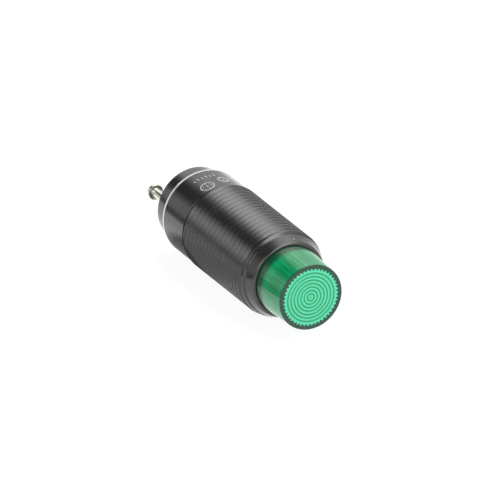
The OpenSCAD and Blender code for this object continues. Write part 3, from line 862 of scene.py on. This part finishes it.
class PILOT_OT_lamp_parts(Operator):
    """Finish the parts behind the lens: gasket, lamp cup, diffuser and lamps"""
    bl_idname = "pilot.lamp_parts"
    bl_label = "Lamp parts"

    def execute(self, context):
        coat(mottled("gasket_rubber", grey(0.05), grey(0.03), 0.7, 1500, bump=0.3), "lens_gasket")
        white = mottled("white_moulding", (0.84, 0.85, 0.83), (0.78, 0.79, 0.77), 0.5, 300, bump=0.05)
        for node, name in (("lamp_cup", "white_lamp_cup"), ("diffuser", "diffuser_disc")):
            settle(smooth_copy(node, name), white, slot_of(node), node)
        glow = mottled("lamp_resin", (0.6, 0.85, 0.72), (0.5, 0.78, 0.62), 0.15, 400, bump=0.02)
        for k in range(1, 5):
            node = f"led_{k}"
            settle(smooth_copy(node, f"lamp_{k}"), glow, slot_of(node), node)
        return {"FINISHED"}


class PILOT_OT_driver_parts(Operator):
    """Finish the boards, the driver's parts, the wires and the sealing resin"""
    bl_idname = "pilot.driver_parts"
    bl_label = "Driver parts"

    def execute(self, context):
        coat(mottled("board_laminate", (0.03, 0.13, 0.05), (0.02, 0.09, 0.03), 0.4, 900, stretch=(1, 6, 1)),
             "lamp_board", "driver_board")
        coat(mottled("tinned_lead", (0.72, 0.72, 0.7), (0.55, 0.55, 0.53), 0.28, 1500, 1.0),
             "led_leads", "resistor_leads", "diode_leads")
        coat(mottled("solder", (0.6, 0.61, 0.63), (0.45, 0.46, 0.48), 0.35, 2500, 1.0), "solder_joints")
        coat(mottled("pin_brass", (0.72, 0.55, 0.25), (0.6, 0.44, 0.18), 0.3, 1500, 1.0), "board_pins")
        coat(mottled("copper", (0.78, 0.42, 0.25), (0.66, 0.32, 0.18), 0.3, 2000, 1.0), "wire_cores")
        coat(mottled("sleeve_film", (0.62, 0.52, 0.3), (0.55, 0.45, 0.25), 0.35, 500), "insulating_sleeve")
        coat(mottled("resistor_coat", (0.5, 0.36, 0.22), (0.42, 0.3, 0.18), 0.45, 1200),
             "resistor_left", "resistor_right")
        coat(mottled("diode_resin", grey(0.022), grey(0.015), 0.3, 1500), "rectifier_diode")
        coat(mottled("wire_insulation", grey(0.75), grey(0.68), 0.45, 1000), "wire_left", "wire_right")
        coat(mottled("sealing_resin", (0.06, 0.05, 0.035), (0.045, 0.037, 0.026), 0.25, 500), "epoxy_seal")
        return {"FINISHED"}


# Stage -----------------------------------------------------------------------

def camera_axes(s):
    """The camera's right, up and back directions from its azimuth and elevation."""
    back = Vector((math.sin(s.azimuth) * math.cos(s.elevation),
                   -math.cos(s.azimuth) * math.cos(s.elevation),
                   math.sin(s.elevation)))
    right = Vector((math.cos(s.azimuth), math.sin(s.azimuth), 0))
    return right, back.cross(right), back


def place_camera(s):
    """Puts a long lens where the mouth sits right of and below the middle of the view."""
    right, up, back = camera_axes(s)
    mouth = Vector((0, FRONT_Y, 0))
    target = mouth - right * s.right + up * s.down
    data = bpy.data.cameras.new("camera")
    data.sensor_width = 36
    data.lens = data.sensor_width * s.distance / s.view_width
    data.clip_start = 0.1
    data.clip_end = 30
    camera = bpy.data.objects.new("camera", data)
    turn = Matrix((right, up, back)).transposed().to_4x4()
    camera.matrix_world = Matrix.Translation(target + back * s.distance) @ turn
    bpy.context.scene.collection.objects.link(camera)
    bpy.context.scene.camera = camera


def lay_floor(s):
    """A round pale floor just under the crests of the thread, white to the camera except in shadow.

    Mirrored in the light it is white too, apart from a painted shadow: a dark stretch to the left of the thread.
    """
    a = np.linspace(0, TAU, 97)[:-1]
    points = np.stack([s.floor * np.cos(a), s.floor * np.sin(a), np.full(96, -CREST_R)], -1)
    mesh = bpy.data.meshes.new("floor")
    mesh.from_pydata(points.tolist(), [], [list(range(96))])
    floor = bpy.data.objects.new("floor", mesh)
    bpy.context.scene.collection.objects.link(floor)
    m, lit = finish("pale_floor", grey(0.9), 0.9)
    lit.inputs["Specular IOR Level"].default_value = 0.0
    lit.inputs["Emission Color"].default_value = (1, 1, 1, 1)
    lit.inputs["Emission Strength"].default_value = 0.12
    x, y, _ = place(m)
    # Painted shadow, seen in reflections only: a dark stretch left of the housing, lifted again far behind it
    shadowed_beside = times(m, rise(m, x, -4 * MM, 2 * MM, 1.0, 0.0), rise(m, y, 2 * MM, 8 * MM))
    rear = times(m, rise(m, x, -60 * MM, -45 * MM), rise(m, y, 26 * MM, 36 * MM))
    dark = times(m, shadowed_beside, calc(m, "MULTIPLY_ADD", rear, -1.0, 1.0))
    mirrored = add(m, "ShaderNodeEmission")
    wire(m, calc(m, "MULTIPLY_ADD", dark, -1.1, 1.4), mirrored.inputs["Strength"])
    glow = add(m, "ShaderNodeEmission", {"Strength": 0.93})
    shadow = add(m, "ShaderNodeBsdfDiffuse", {"Color": (*grey(0.1), 1)})
    pale = add(m, "ShaderNodeAddShader")
    wire(m, glow.outputs["Emission"], pale.inputs[0])
    wire(m, shadow.outputs["BSDF"], pale.inputs[1])
    ray = add(m, "ShaderNodeLightPath")
    surface = lit.outputs["BSDF"]
    for test, shown in (("Is Glossy Ray", mirrored.outputs["Emission"]),
                        ("Is Camera Ray", pale.outputs["Shader"])):
        seen = add(m, "ShaderNodeMixShader")
        wire(m, ray.outputs[test], seen.inputs["Fac"])
        wire(m, surface, seen.inputs[1])
        wire(m, shown, seen.inputs[2])
        surface = seen.outputs["Shader"]
    wire(m, surface, m.node_tree.nodes["Material Output"].inputs["Surface"])
    floor.data.materials.append(m)


def light_tent():
    """A white tent round the light's axis, and plain white where the camera sees it.

    Its brightness depends on the angle about the axis, counted in turns from straight below: a dark gap lies
    left of the top, a long soft box right of it that grows brighter towards the front, and a dimmer stretch
    where the tent's left side meets the table. A small lamp stands in front, on the left.
    """
    world = bpy.data.worlds.new("tent")
    world.use_nodes = True
    bpy.context.scene.world = world
    where = add(world, "ShaderNodeTexCoord")
    split = add(world, "ShaderNodeSeparateXYZ")
    wire(world, where.outputs["Generated"], split.inputs["Vector"])
    turn = angle_of(world, split.outputs["Z"], split.outputs["X"])
    around = calc(world, "WRAP", calc(world, "MULTIPLY_ADD", turn, 1 / TAU, 0.25), 1.0, 0.0)

    def tone(*stops):
        return ramp(world, around, [(0.25 + a / 360, grey(v)) for a, v in stops])

    gap = tone((84, 1.0), (96, 0.5), (108, 0.05), (131, 0.03), (142, 0.4), (152, 0.85), (170, 0.85),
               (181, 0.5), (205, 0.65), (225, 1.0))
    box = tone((20, 0.0), (42, 0.2), (53, 0.75), (63, 1.0), (76, 0.9), (88, 0.5), (100, 0.1), (108, 0.0))
    front = times(world, calc(world, "MULTIPLY_ADD", split.outputs["Y"], -2.6, 2.6), box)
    level = times(world, calc(world, "ADD", front, 1.05), gap)
    toward = add(world, "ShaderNodeVectorMath", {1: (-0.63, -0.65, 0.425)}, operation="DOT_PRODUCT")
    wire(world, where.outputs["Generated"], toward.inputs[0])
    lamp = ramp(world, toward.outputs["Value"], [(0.94, grey(0.0)), (0.985, grey(1.0))])
    lit = paired(world, "ADD", calc(world, "MULTIPLY", lamp, 3.0), level)
    mix = add(world, "ShaderNodeMix", data_type="FLOAT")
    wire(world, add(world, "ShaderNodeLightPath").outputs["Is Camera Ray"], mix.inputs[0])
    wire(world, lit, mix.inputs[2])
    mix.inputs[3].default_value = 1.0
    wire(world, mix.outputs[0], world.node_tree.nodes["Background"].inputs["Strength"])
    world.node_tree.nodes["Background"].inputs["Color"].default_value = (1, 1, 1, 1)


class PILOT_OT_stage(Operator):
    """Make the floor, the light tent and the camera"""
    bl_idname = "pilot.stage"
    bl_label = "Stage"

    def execute(self, context):
        s = context.scene.pilot_stage
        lay_floor(s)
        light_tent()
        place_camera(s)
        context.scene.view_settings.view_transform = "Standard"
        return {"FINISHED"}


class PILOT_PT_panel(Panel):
    """Lists the light's pieces and their sizes"""
    bl_idname = "PILOT_PT_panel"
    bl_label = "Pilot Light"
    bl_space_type = "VIEW_3D"
    bl_region_type = "UI"
    bl_category = "Pilot Light"

    def draw(self, context):
        for operator, settings in STEPS:
            box = self.layout.box()
            box.operator(operator)
            if settings:
                group = getattr(context.scene, settings)
                for key in group.__annotations__:
                    box.prop(group, key)


STEPS = (
    ("pilot.stage", "pilot_stage"),
    ("pilot.housing", "pilot_housing"),
    ("pilot.marks", "pilot_marks"),
    ("pilot.lens", "pilot_lens"),
    ("pilot.terminals", "pilot_terminals"),
    ("pilot.rear_cap", ""),
    ("pilot.lamp_parts", ""),
    ("pilot.driver_parts", ""),
)
GROUPS = {
    "pilot_stage": StageSizes,
    "pilot_housing": HousingSizes,
    "pilot_marks": MarkSizes,
    "pilot_lens": LensSizes,
    "pilot_terminals": TerminalSizes,
}
CLASSES = (
    *GROUPS.values(),
    PILOT_OT_stage,
    PILOT_OT_housing,
    PILOT_OT_marks,
    PILOT_OT_lens,
    PILOT_OT_terminals,
    PILOT_OT_rear_cap,
    PILOT_OT_lamp_parts,
    PILOT_OT_driver_parts,
    PILOT_PT_panel,
)


def register():
    for cls in CLASSES:
        bpy.utils.register_class(cls)
    for name, group in GROUPS.items():
        setattr(bpy.types.Scene, name, PointerProperty(type=group))


def unregister():
    for name in GROUPS:
        delattr(bpy.types.Scene, name)
    for cls in reversed(CLASSES):
        bpy.utils.unregister_class(cls)


def main():
    register()
    for operator, _ in STEPS:
        group, name = operator.split(".")
        getattr(getattr(bpy.ops, group), name)()


if __name__ == "__main__":
    main()
